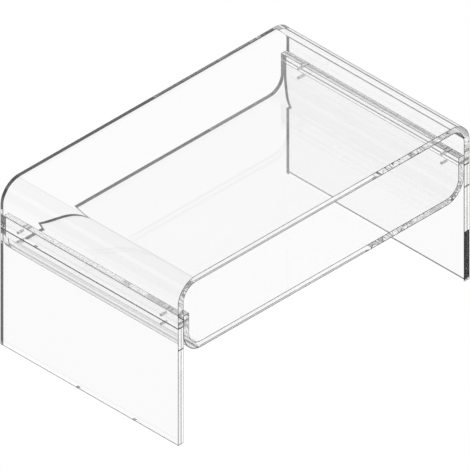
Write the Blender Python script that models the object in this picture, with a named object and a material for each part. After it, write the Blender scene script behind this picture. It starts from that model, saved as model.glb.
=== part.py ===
"""Monitor riser stand in clear acrylic sheet: a top shelf bent down at both ends, a tray bent up at
both ends, two flat leg panels, and the eight pins that lap them together.

Metres, +Z up. X is the width, Y is the depth with the front at -Y, and the origin is on the floor,
in the middle of the footprint."""

import math

import bmesh
import bpy
from mathutils import Matrix, Vector

# The whole riser.
WIDTH = 0.4364
DEPTH = 0.2662
HEIGHT = 0.2070
SHEET = 0.0080  # every panel is cut or bent from the same sheet
BEND_RADIUS = 0.0266  # outside of a bend, on the top shelf and on the tray
BEND_STEPS = 14
EDGE_ROUND = 0.0006  # the polished corner of a cut edge
GAP = 0.0003  # clearance between two pieces that touch

# Heights from the floor.
SEAM_Z = 0.1504  # where a leg meets the top shelf's flange
TRAY_FLOOR_Z = 0.1113  # underside of the tray
TRAY_TOP_Z = 0.1637  # upper end of the tray's upstands

# The pins stand in pairs, one above the seam and one below it, near the front and the rear.
PIN_RADIUS = 0.0019
PIN_CLEARANCE = 0.00005
PIN_INSET = 0.0260  # from the front or rear edge
PIN_OFFSET = 0.0059  # above and below the seam
PIN_SIDES = 32
CUTTER_OVERRUN = 0.002


def clear_scene():
    for obj in list(bpy.data.objects):
        bpy.data.objects.remove(obj, do_unlink=True)


def acrylic(name, colour, alpha):
    """Clear cast acrylic with polished faces."""
    material = bpy.data.materials.new(name)
    material.use_nodes = True
    shader = material.node_tree.nodes["Principled BSDF"]
    shader.inputs["Base Color"].default_value = (*colour, 1.0)
    shader.inputs["Roughness"].default_value = 0.03
    shader.inputs["Metallic"].default_value = 0.0
    shader.inputs["IOR"].default_value = 1.49
    shader.inputs["Transmission Weight"].default_value = 1.0
    shader.inputs["Alpha"].default_value = alpha
    material.diffuse_color = (*colour, alpha)
    return material


def arc(centre_x, centre_z, radius, start, end):
    """Points in the XZ plane along an arc, its two ends included. Angles are in degrees."""
    points = []
    for step in range(BEND_STEPS + 1):
        angle = math.radians(start + (end - start) * step / BEND_STEPS)
        points.append((centre_x + radius * math.cos(angle), centre_z + radius * math.sin(angle)))
    return points


def inverted_u(half_width, end_z, flat_z):
    """Section of a sheet bent down at both ends: flat_z is its upper face, end_z its cut ends."""
    inner_radius = BEND_RADIUS - SHEET
    centre_x = half_width - BEND_RADIUS
    centre_z = flat_z - BEND_RADIUS
    outside = [(half_width, end_z)]
    outside += arc(centre_x, centre_z, BEND_RADIUS, 0, 90)
    outside += arc(-centre_x, centre_z, BEND_RADIUS, 90, 180)
    outside += [(-half_width, end_z)]
    inside = [(-half_width + SHEET, end_z)]
    inside += arc(-centre_x, centre_z, inner_radius, 180, 90)
    inside += arc(centre_x, centre_z, inner_radius, 90, 0)
    inside += [(half_width - SHEET, end_z)]
    return outside + inside


def upright_u(half_width, end_z, floor_z):
    """Section of a sheet bent up at both ends: the inverted one, turned over."""
    return [(x, -z) for x, z in inverted_u(half_width, -end_z, -floor_z)]


def rectangle(low_x, high_x, low_z, high_z):
    return [(low_x, low_z), (high_x, low_z), (high_x, high_z), (low_x, high_z)]


def sheet_piece(name, section, material):
    """A panel whose XZ section runs from the front to the rear, with its cut edges broken."""
    mesh = bpy.data.meshes.new(name)
    shape = bmesh.new()
    corners = [shape.verts.new((x, -DEPTH / 2, z)) for x, z in section]
    face = shape.faces.new(corners)
    extruded = bmesh.ops.extrude_face_region(shape, geom=[face])["geom"]
    moved = [item for item in extruded if isinstance(item, bmesh.types.BMVert)]
    bmesh.ops.translate(shape, verts=moved, vec=Vector((0, DEPTH, 0)))
    bmesh.ops.recalc_face_normals(shape, faces=shape.faces)
    shape.to_mesh(mesh)
    shape.free()
    piece = bpy.data.objects.new(name, mesh)
    bpy.context.scene.collection.objects.link(piece)
    mesh.materials.append(material)
    mesh.shade_smooth()
    mesh.set_sharp_from_angle(angle=math.radians(30))
    return piece


def break_edges(piece):
    """A fine chamfer on every cut edge, but not along the facets of a bend."""
    bevel = piece.modifiers.new("polished_edges", "BEVEL")
    bevel.width = EDGE_ROUND
    bevel.limit_method = "ANGLE"
    bevel.angle_limit = math.radians(40)


def rod(name, radius, length, centre):
    """A round bar along X, about its own centre."""
    mesh = bpy.data.meshes.new(name)
    shape = bmesh.new()
    bmesh.ops.create_cone(
        shape,
        cap_ends=True,
        segments=PIN_SIDES,
        radius1=radius,
        radius2=radius,
        depth=length,
        matrix=Matrix.Rotation(math.radians(90), 4, "Y"),
    )
    shape.to_mesh(mesh)
    shape.free()
    bar = bpy.data.objects.new(name, mesh)
    bar.location = centre
    bpy.context.scene.collection.objects.link(bar)
    return bar


def drill(piece, cutter):
    """Takes the cutter out of the piece, and keeps it as a wire guide."""
    cutter.hide_render = True
    cutter.display_type = "WIRE"
    hole = piece.modifiers.new(cutter.name, "BOOLEAN")
    hole.operation = "DIFFERENCE"
    hole.solver = "EXACT"
    hole.object = cutter


def pin_places():
    """(name, side, centre, is_upper) of each pin. Each runs through two thicknesses of sheet."""
    stack = 2 * SHEET + GAP
    for side_name, side in (("left", -1), ("right", 1)):
        for end_name, end in (("front", -1), ("rear", 1)):
            for level_name, level in (("upper", 1), ("lower", -1)):
                centre = Vector((
                    side * (WIDTH - stack) / 2,
                    end * (DEPTH / 2 - PIN_INSET),
                    SEAM_Z + level * PIN_OFFSET,
                ))
                yield f"pin_{side_name}_{end_name}_{level_name}", side, centre, level > 0


def build():
    clear_scene()
    clear = acrylic("clear_acrylic", (0.94, 0.95, 0.96), 0.35)
    pin_clear = acrylic("pin_acrylic", (0.80, 0.82, 0.84), 0.6)

    half = WIDTH / 2
    top_shelf = sheet_piece("top_shelf", inverted_u(half, SEAM_Z + GAP / 2, HEIGHT), clear)
    tray_half = half - SHEET - GAP
    tray = sheet_piece("tray", upright_u(tray_half, TRAY_TOP_Z, TRAY_FLOOR_Z), clear)
    leg_top = SEAM_Z - GAP / 2
    legs = {
        -1: sheet_piece("left_leg", rectangle(-half, -half + SHEET, 0, leg_top), clear),
        1: sheet_piece("right_leg", rectangle(half - SHEET, half, 0, leg_top), clear),
    }
    for piece in (top_shelf, tray, *legs.values()):
        break_edges(piece)

    pin_length = 2 * SHEET + GAP
    for name, side, centre, is_upper in pin_places():
        hole = rod(
            f"hole_{name}",
            PIN_RADIUS + PIN_CLEARANCE,
            pin_length + 2 * CUTTER_OVERRUN,
            centre,
        )
        drill(tray, hole)
        drill(top_shelf if is_upper else legs[side], hole)
        pin = rod(name, PIN_RADIUS, pin_length, centre)
        pin.data.materials.append(pin_clear)
        pin.data.shade_smooth()
        pin.data.set_sharp_from_angle(angle=math.radians(40))


build()
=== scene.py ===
"""Looks of the clear acrylic monitor riser: fine meshes of its bent sheets, panels and pins, the
clear acrylic they are made of, and a white studio with light that is set by direction."""

import math

import bmesh
import bpy
from mathutils import Matrix, Vector


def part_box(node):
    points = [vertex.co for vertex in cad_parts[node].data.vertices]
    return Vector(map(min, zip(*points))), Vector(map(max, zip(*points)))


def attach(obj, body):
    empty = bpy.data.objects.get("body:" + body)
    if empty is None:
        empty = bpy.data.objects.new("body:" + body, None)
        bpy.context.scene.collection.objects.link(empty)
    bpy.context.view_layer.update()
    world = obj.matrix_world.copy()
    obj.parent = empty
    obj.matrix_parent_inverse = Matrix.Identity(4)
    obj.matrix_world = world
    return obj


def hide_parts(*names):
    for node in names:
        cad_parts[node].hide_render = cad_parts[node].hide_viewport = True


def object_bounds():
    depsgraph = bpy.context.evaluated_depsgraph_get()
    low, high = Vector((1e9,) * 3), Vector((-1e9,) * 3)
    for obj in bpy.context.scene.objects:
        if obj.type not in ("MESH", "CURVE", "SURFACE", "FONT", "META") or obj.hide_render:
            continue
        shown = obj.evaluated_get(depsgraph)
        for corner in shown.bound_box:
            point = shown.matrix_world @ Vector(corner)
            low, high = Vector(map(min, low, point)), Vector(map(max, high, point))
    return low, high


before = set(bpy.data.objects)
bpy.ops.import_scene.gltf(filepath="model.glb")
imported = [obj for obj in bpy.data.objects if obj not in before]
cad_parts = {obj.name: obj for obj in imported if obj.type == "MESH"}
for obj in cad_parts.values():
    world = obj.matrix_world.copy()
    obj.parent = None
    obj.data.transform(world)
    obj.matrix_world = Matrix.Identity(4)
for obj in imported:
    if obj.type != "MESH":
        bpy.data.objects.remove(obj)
cad_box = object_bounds()

# Sizes read from the frame, in metres.
LOW, HIGH = cad_box
LEG_LOW, LEG_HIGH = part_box("left_leg")
TOP_LOW, TOP_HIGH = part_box("top_shelf")
TRAY_LOW, TRAY_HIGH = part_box("tray")
DEPTH = HIGH.y - LOW.y
SHEET = LEG_HIGH.x - LEG_LOW.x

# The sheet work.
BEND_RADIUS = 0.0266  # outside of a bend
BEND_STEPS = 64
CORNER_ANGLE = 40.0  # an edge that turns by more degrees than this is a corner
CREASE_ANGLE = 35.0  # an edge that turns by fewer degrees than this is shaded smooth

# The edge bands: strips along both sides of a cut edge's sharp corners, darkened as painted shade
# that stands in for the dark surroundings seen in the polished edges.
BAND_WIDTH = 0.0010  # at a lower corner
BAND_UPPER_SHARE = 0.5  # width of the other corners' bands, as a share of the lower ones'
BAND_STEPS = 4
BAND_SLOT = 1  # material slot that holds the bands' faces while a piece is being made
SQUARE_PROFILE = 1.0
FACING_DOWN = -0.3  # a face's normal z, at the most, for its corners to be lower ones
FACING_FRONT_OR_REAR = 0.5  # a face's normal y, either way, at the least

# The pins and their holes.
PIN_CLEARANCE = 0.00005
PIN_SIDES = 96
CUTTER_OVERRUN = 0.002

# The acrylic. Tints are grey levels, and noise scales are per metre.
REFRACTIVE_INDEX = 1.49
SHEET_TINT = 0.955
SHEET_CLOUD = 0.004  # how far the clouds move the tint up and down
PIN_TINT = 0.50
PIN_CLOUD = 0.02
# painted shade: the near-black grey of the bands along the cut edges
EDGE_SHADE_GREY = 0.03
CLOUD_SCALE = 14.0
WIPE_SCALE = 900.0
WIPE_STRETCH = (1.0, 0.05, 1.0)  # the wiping marks run from the front to the rear
WIPE_START = 0.62
WIPE_FULL = 0.82
WIPE_ROUGHNESS = 0.05
SWELL_SCALE = 6.0
SWELL_HEIGHT = 0.00002

# The studio's light: the ground glows up to just under the horizon, and the ceiling is dimmer.
GROUND_FULL = -0.24
GROUND_END = -0.10
CEILING_LIGHT = 0.5

# Soft panels and dark patches: direction, radius and softness in degrees, brightness. A later
# one covers an earlier one.
PANELS = (
    ((0, 0, 1), 30, 8, 0.8),  # overhead
    ((-0.38, -0.92, 0.80), 20, 6, 1.7),  # the big softbox, in front and to the left
    ((1, 1, 0.05), 18, 6, 1.0),  # behind, to the right, level
    ((-1, 0, 0), 14, 6, 1.3),  # left, level
    ((-0.7, 0.7, 0.75), 10, 6, 0.5),  # dim, behind, to the left, high
    ((-1, 1, 1), 7, 4, 1.0),  # the bright middle of that one
    ((1, 1, 1), 6, 4, 1.1),  # behind, to the right, high
    ((0.755, 0.555, -0.355), 3, 5, 0.03),  # a small dark patch, low on the right
    ((0.27, 0.54, -0.80), 6, 6, 0.5),  # a dimmer patch of the ground, behind
    ((1, -1, 1), 12, 6, 0.3),  # dim, in front, to the right, high
    ((1, -1, -1), 12, 4, 0.04),  # dark ground, in front, to the right
)

# Black flags behind the riser, upright and side by side.
FLAG_LEFT_EDGES = {"flag_inner": 0.007, "flag_outer": 0.407}
FLAG_WIDTH = 0.014
FLAG_DISTANCE = 0.200
FLAG_LOW_Z = 0.256
FLAG_HIGH_Z = 0.318

# The backdrop's floor and walls.
BACKDROP_REACH = 20.0
FLOOR_DROP = 0.0005  # how far the floor is under the riser

# The camera looks from the front left, 35 degrees down.
VIEW_AZIMUTH = -45.0
VIEW_ELEVATION = 35.0
ORTHO_SPAN = 0.49784
AIM_HEIGHT = 0.0987
CAMERA_DISTANCE = 5.0
CLIP_END = 100.0
LIGHT_BOUNCES = 64  # enough for light to run along inside the sheets


def grey(level):
    return (level, level, level, 1.0)


def arc(centre_x, centre_z, radius, start, end):
    """Points in the XZ plane along an arc, its two ends included. Angles are in degrees."""
    points = []
    for step in range(BEND_STEPS + 1):
        angle = math.radians(start + (end - start) * step / BEND_STEPS)
        points.append((centre_x + radius * math.cos(angle), centre_z + radius * math.sin(angle)))
    return points


def inverted_u(half_width, end_z, flat_z):
    """Section of a sheet bent down at both ends: flat_z is its upper face, end_z its cut ends."""
    inner_radius = BEND_RADIUS - SHEET
    centre_x = half_width - BEND_RADIUS
    centre_z = flat_z - BEND_RADIUS
    outside = [(half_width, end_z)]
    outside += arc(centre_x, centre_z, BEND_RADIUS, 0, 90)
    outside += arc(-centre_x, centre_z, BEND_RADIUS, 90, 180)
    outside += [(-half_width, end_z)]
    inside = [(-half_width + SHEET, end_z)]
    inside += arc(-centre_x, centre_z, inner_radius, 180, 90)
    inside += arc(centre_x, centre_z, inner_radius, 90, 0)
    inside += [(half_width - SHEET, end_z)]
    return outside + inside


def upright_u(half_width, end_z, floor_z):
    """Section of a sheet bent up at both ends: the inverted one, turned over."""
    return [(x, -z) for x, z in inverted_u(half_width, -end_z, -floor_z)]


def rectangle(low_x, high_x, low_z, high_z):
    return [(low_x, low_z), (high_x, low_z), (high_x, high_z), (low_x, high_z)]


def object_from(shape, name):
    mesh = bpy.data.meshes.new(name)
    shape.to_mesh(mesh)
    shape.free()
    piece = bpy.data.objects.new(name, mesh)
    bpy.context.scene.collection.objects.link(piece)
    return piece


def band_share(edge):
    """How wide the bands of painted edge shade at an edge are, as a share of BAND_WIDTH. A bend's
    facets have none, and neither has the inner corner of a cut end that faces down."""
    if edge.calc_face_angle() < math.radians(CORNER_ANGLE):
        return 0.0
    lower = any(face.normal.z < FACING_DOWN for face in edge.link_faces)
    inside = any(face.normal.x * edge.verts[0].co.x < 0 for face in edge.link_faces)
    along_depth = all(abs(face.normal.y) < FACING_FRONT_OR_REAR for face in edge.link_faces)
    if lower and inside and along_depth:
        return 0.0
    return 1.0 if lower else BAND_UPPER_SHARE


def sheet_piece(name, section):
    """A panel whose XZ section runs from the front to the rear, with bands of painted shade along
    its cut edges."""
    shape = bmesh.new()
    corners = [shape.verts.new((x, LOW.y, z)) for x, z in section]
    face = shape.faces.new(corners)
    extruded = bmesh.ops.extrude_face_region(shape, geom=[face])["geom"]
    moved = [item for item in extruded if isinstance(item, bmesh.types.BMVert)]
    bmesh.ops.translate(shape, verts=moved, vec=Vector((0, DEPTH, 0)))
    bmesh.ops.recalc_face_normals(shape, faces=shape.faces)
    weight = shape.edges.layers.float.new("bevel_weight_edge")
    for edge in shape.edges:
        edge[weight] = band_share(edge)
    piece = object_from(shape, name)
    # these bands carry the painted edge shade
    bands = piece.modifiers.new("painted_edge_shade_bands", "BEVEL")
    bands.width = BAND_WIDTH
    bands.segments = BAND_STEPS
    bands.profile = SQUARE_PROFILE
    bands.limit_method = "WEIGHT"
    bands.use_clamp_overlap = False
    bands.material = BAND_SLOT
    for _ in range(BAND_SLOT + 1):
        piece.data.materials.append(None)
    return piece


def rod(name, radius, length, centre):
    """A round bar along X, about its own centre."""
    shape = bmesh.new()
    bmesh.ops.create_cone(
        shape,
        cap_ends=True,
        segments=PIN_SIDES,
        radius1=radius,
        radius2=radius,
        depth=length,
        matrix=Matrix.Translation(centre) @ Matrix.Rotation(math.radians(90), 4, "Y"),
    )
    return object_from(shape, name)


def drill(piece, cutter):
    hole = piece.modifiers.new(cutter.name, "BOOLEAN")
    hole.operation = "DIFFERENCE"
    hole.solver = "EXACT"
    hole.object = cutter


def mark_bands(mesh):
    """Turns the material slot of the painted edge-shade bands into a value on each face."""
    edge_shade_mask = mesh.attributes.new("painted_edge_shade", "FLOAT", "FACE")
    for face in mesh.polygons:
        edge_shade_mask.data[face.index].value = float(face.material_index == BAND_SLOT)
        face.material_index = 0
    mesh.materials.clear()


def settle(piece):
    """Applies the piece's modifiers, then gives flat faces flat normals and bends smooth ones."""
    graph = bpy.context.evaluated_depsgraph_get()
    mesh = bpy.data.meshes.new_from_object(piece.evaluated_get(graph))
    mesh.name = piece.name
    piece.modifiers.clear()
    piece.data = mesh
    mark_bands(mesh)
    mesh.shade_smooth()
    mesh.set_sharp_from_angle(angle=math.radians(CREASE_ANGLE))
    weighted = piece.modifiers.new("flat_faces_flat", "WEIGHTED_NORMAL")
    weighted.mode = "FACE_AREA"
    weighted.weight = 100
    weighted.keep_sharp = True


def graph_tools(tree):
    """Two small helpers for a node tree: one adds a node, one sets or links its sockets."""

    def add(kind, **settings):
        node = tree.nodes.new(kind)
        for setting, value in settings.items():
            setattr(node, setting, value)
        return node

    def feed(socket, value):
        if isinstance(value, bpy.types.NodeSocket):
            tree.links.new(value, socket)
        else:
            socket.default_value = value

    return add, feed


def acrylic(name, tint, cloud):
    """Polished acrylic: faint clouds in its tint, near-black bands of painted shade along the cut
    edges, hair-fine wiping marks and a barely wavy face."""
    material = bpy.data.materials.new(name)
    material.use_nodes = True
    tree = material.node_tree
    add, feed = graph_tools(tree)
    shader = tree.nodes["Principled BSDF"]
    place = add("ShaderNodeTexCoord").outputs["Object"]

    clouds = add("ShaderNodeTexNoise")
    feed(clouds.inputs["Vector"], place)
    feed(clouds.inputs["Scale"], CLOUD_SCALE)
    feed(clouds.inputs["Detail"], 3.0)
    tints = add("ShaderNodeMix", data_type="RGBA")
    feed(tints.inputs["Factor"], clouds.outputs["Fac"])
    feed(tints.inputs["A"], grey(tint - cloud))
    feed(tints.inputs["B"], grey(tint + cloud))
    # painted shade: the marked edge bands turn near black
    edge_shade_mask = add("ShaderNodeAttribute", attribute_name="painted_edge_shade")
    banded = add("ShaderNodeMix", data_type="RGBA")
    feed(banded.inputs["Factor"], edge_shade_mask.outputs["Fac"])
    feed(banded.inputs["A"], tints.outputs["Result"])
    feed(banded.inputs["B"], grey(EDGE_SHADE_GREY))
    feed(shader.inputs["Base Color"], banded.outputs["Result"])

    stretch = add("ShaderNodeMapping")
    feed(stretch.inputs["Vector"], place)
    feed(stretch.inputs["Scale"], WIPE_STRETCH)
    marks = add("ShaderNodeTexNoise")
    feed(marks.inputs["Vector"], stretch.outputs["Vector"])
    feed(marks.inputs["Scale"], WIPE_SCALE)
    feed(marks.inputs["Detail"], 2.0)
    wiped = add("ShaderNodeMapRange", interpolation_type="SMOOTHSTEP")
    feed(wiped.inputs["Value"], marks.outputs["Fac"])
    feed(wiped.inputs["From Min"], WIPE_START)
    feed(wiped.inputs["From Max"], WIPE_FULL)
    feed(wiped.inputs["To Min"], 0.0)
    feed(wiped.inputs["To Max"], WIPE_ROUGHNESS)
    feed(shader.inputs["Roughness"], wiped.outputs["Result"])

    swell = add("ShaderNodeTexNoise")
    feed(swell.inputs["Vector"], place)
    feed(swell.inputs["Scale"], SWELL_SCALE)
    feed(swell.inputs["Detail"], 0.0)
    wave = add("ShaderNodeBump")
    feed(wave.inputs["Height"], swell.outputs["Fac"])
    feed(wave.inputs["Strength"], 1.0)
    feed(wave.inputs["Distance"], SWELL_HEIGHT)
    feed(shader.inputs["Normal"], wave.outputs["Normal"])

    shader.inputs["IOR"].default_value = REFRACTIVE_INDEX
    shader.inputs["Transmission Weight"].default_value = 1.0
    return material


def pin_nodes():
    """(node, side, level) of each pin."""
    for side in ("left", "right"):
        for end in ("front", "rear"):
            for level in ("upper", "lower"):
                yield f"pin_{side}_{end}_{level}", side, level


def build_pins(top, tray, legs):
    """The pins, and the holes for them through two thicknesses of sheet. It returns the cutters,
    which stay until the sheets are settled."""
    pin_clear = acrylic("pin_acrylic", PIN_TINT, PIN_CLOUD)
    cutters = []
    for node, side, level in pin_nodes():
        low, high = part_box(node)
        centre = (low + high) / 2
        radius = (high.z - low.z) / 2
        length = high.x - low.x
        cutter = rod(f"cut_{node}", radius + PIN_CLEARANCE, length + 2 * CUTTER_OVERRUN, centre)
        cutters.append(cutter)
        drill(tray, cutter)
        drill(top if level == "upper" else legs[side], cutter)
        pin = rod(f"{node}_rod", radius, length, centre)
        settle(pin)
        pin.data.materials.append(pin_clear)
        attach(pin, "root")
        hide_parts(node)
    return cutters


def build_object():
    clear = acrylic("clear_acrylic", SHEET_TINT, SHEET_CLOUD)
    top = sheet_piece("top_shelf_sheet", inverted_u(TOP_HIGH.x, TOP_LOW.z, TOP_HIGH.z))
    tray = sheet_piece("tray_sheet", upright_u(TRAY_HIGH.x, TRAY_HIGH.z, TRAY_LOW.z))
    legs = {}
    for side in ("left", "right"):
        low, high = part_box(f"{side}_leg")
        legs[side] = sheet_piece(f"{side}_leg_panel", rectangle(low.x, high.x, low.z, high.z))
    cutters = build_pins(top, tray, legs)
    bpy.context.view_layer.update()
    pieces = {"top_shelf": top, "tray": tray, "left_leg": legs["left"], "right_leg": legs["right"]}
    for node, piece in pieces.items():
        settle(piece)
        piece.data.materials.append(clear)
        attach(piece, "root")
        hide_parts(node)
    for cutter in cutters:
        bpy.data.objects.remove(cutter, do_unlink=True)


def build_light():
    """Light by the direction it comes from: a bright ground, a dimmer ceiling and a few soft
    panels and dark patches."""
    world = bpy.data.worlds.new("studio")
    bpy.context.scene.world = world
    world.use_nodes = True
    tree = world.node_tree
    add, feed = graph_tools(tree)
    direction = add("ShaderNodeTexCoord").outputs["Generated"]
    height = add("ShaderNodeSeparateXYZ")
    feed(height.inputs["Vector"], direction)
    ground = add("ShaderNodeMapRange", interpolation_type="SMOOTHSTEP")
    feed(ground.inputs["Value"], height.outputs["Z"])
    feed(ground.inputs["From Min"], GROUND_FULL)
    feed(ground.inputs["From Max"], GROUND_END)
    feed(ground.inputs["To Min"], 1.0)
    feed(ground.inputs["To Max"], CEILING_LIGHT)
    light = ground.outputs["Result"]
    for towards, radius, softness, level in PANELS:
        nearness = add("ShaderNodeVectorMath", operation="DOT_PRODUCT")
        feed(nearness.inputs[0], direction)
        feed(nearness.inputs[1], Vector(towards).normalized())
        patch = add("ShaderNodeMapRange", interpolation_type="SMOOTHSTEP")
        feed(patch.inputs["Value"], nearness.outputs["Value"])
        feed(patch.inputs["From Min"], math.cos(math.radians(radius + softness)))
        feed(patch.inputs["From Max"], math.cos(math.radians(radius)))
        layered = add("ShaderNodeMix", data_type="FLOAT")
        feed(layered.inputs["Factor"], patch.outputs["Result"])
        feed(layered.inputs["A"], light)
        feed(layered.inputs["B"], level)
        light = layered.outputs["Result"]
    background = tree.nodes["Background"]
    feed(background.inputs["Color"], light)


def card(name, corners, level):
    """A flat glowing or black card in the studio, given by its corners."""
    shape = bmesh.new()
    shape.faces.new([shape.verts.new(corner) for corner in corners])
    piece = object_from(shape, name)
    glow = bpy.data.materials.new(name)
    glow.use_nodes = True
    tree = glow.node_tree
    tree.nodes.clear()
    output = tree.nodes.new("ShaderNodeOutputMaterial")
    emission = tree.nodes.new("ShaderNodeEmission")
    emission.inputs["Color"].default_value = grey(level)
    tree.links.new(emission.outputs["Emission"], output.inputs["Surface"])
    piece.data.materials.append(glow)
    return piece


def show_only_to(piece, shown):
    """Shows a piece of the studio to one kind of ray alone."""
    for kind in ("camera", "diffuse", "glossy", "transmission", "volume_scatter", "shadow"):
        setattr(piece, f"visible_{kind}", kind == shown)


def build_backdrop():
    """The white floor, walls and ceiling, a box around everything, seen by the camera alone."""
    reach = BACKDROP_REACH
    ring = [(-reach, -reach), (reach, -reach), (reach, reach), (-reach, reach)]
    sides = [[(x, y, -FLOOR_DROP) for x, y in ring], [(x, y, reach) for x, y in ring]]
    for index, (ax, ay) in enumerate(ring):
        bx, by = ring[(index + 1) % len(ring)]
        low_edge = [(ax, ay, -FLOOR_DROP), (bx, by, -FLOOR_DROP)]
        sides.append(low_edge + [(bx, by, reach), (ax, ay, reach)])
    for index, corners in enumerate(sides):
        show_only_to(card(f"backdrop_{index}", corners, 1.0), "camera")


def build_flags():
    """Black flags behind the riser. Only light that comes through the acrylic meets them, and
    they darken the lower end of the right leg's front edge."""
    y = HIGH.y + FLAG_DISTANCE
    for name, left in FLAG_LEFT_EDGES.items():
        right = left + FLAG_WIDTH
        corners = [(x, y, z) for x, z in rectangle(left, right, FLAG_LOW_Z, FLAG_HIGH_Z)]
        show_only_to(card(name, corners, 0.0), "transmission")


def build_camera():
    scene = bpy.context.scene
    data = bpy.data.cameras.new("camera")
    data.type = "ORTHO"
    data.ortho_scale = ORTHO_SPAN
    data.clip_end = CLIP_END
    camera = bpy.data.objects.new("camera", data)
    scene.collection.objects.link(camera)
    scene.camera = camera
    azimuth = math.radians(VIEW_AZIMUTH)
    elevation = math.radians(VIEW_ELEVATION)
    back = Vector((
        math.sin(azimuth) * math.cos(elevation),
        -math.cos(azimuth) * math.cos(elevation),
        math.sin(elevation),
    ))
    camera.location = Vector((0, 0, AIM_HEIGHT)) + CAMERA_DISTANCE * back
    camera.rotation_euler = (-back).to_track_quat("-Z", "Y").to_euler()


def set_film():
    """The Standard view keeps the studio's white a pure white."""
    scene = bpy.context.scene
    scene.view_settings.view_transform = "Standard"
    scene.render.film_transparent = False
    scene.cycles.max_bounces = LIGHT_BOUNCES
    scene.cycles.transmission_bounces = LIGHT_BOUNCES
    scene.cycles.glossy_bounces = LIGHT_BOUNCES
    scene.cycles.transparent_max_bounces = LIGHT_BOUNCES


build_object()
build_light()
build_backdrop()
build_flags()
build_camera()
set_film()
